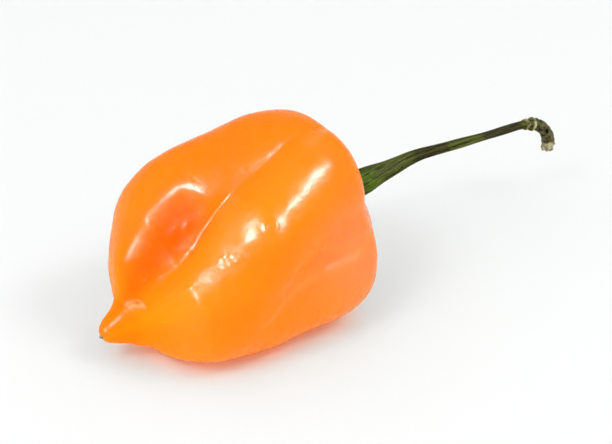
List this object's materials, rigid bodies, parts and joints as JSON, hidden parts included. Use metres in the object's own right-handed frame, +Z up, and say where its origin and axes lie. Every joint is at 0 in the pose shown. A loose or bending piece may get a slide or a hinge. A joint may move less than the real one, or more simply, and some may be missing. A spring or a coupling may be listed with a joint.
{
  "type": "chilli pepper",
  "caption": "Orange habanero chilli lying on its side: lobed glossy pod with a pointed blossom tip, green calyx and a long curled stem.",
  "frame": {"origin": "middle of the bottom of the bounding box, on the surface the chilli lies on", "axes": "+X along the chilli's length, from the blossom tip towards the stem; +Z up; -Y is the side shown in the picture"},
  "size_m": [0.0994, 0.0338, 0.0356],
  "materials": {
    "pod_skin": "smooth waxy orange skin",
    "calyx_skin": "fresh bright green, satin",
    "stem_bark": "dark green ribbed stem, matt, brown and woody at the torn end"
  },
  "bodies": {
    "root": {"pod": "pod_skin", "calyx": "calyx_skin", "stem": "stem_bark"}
  },
  "joints": []
}
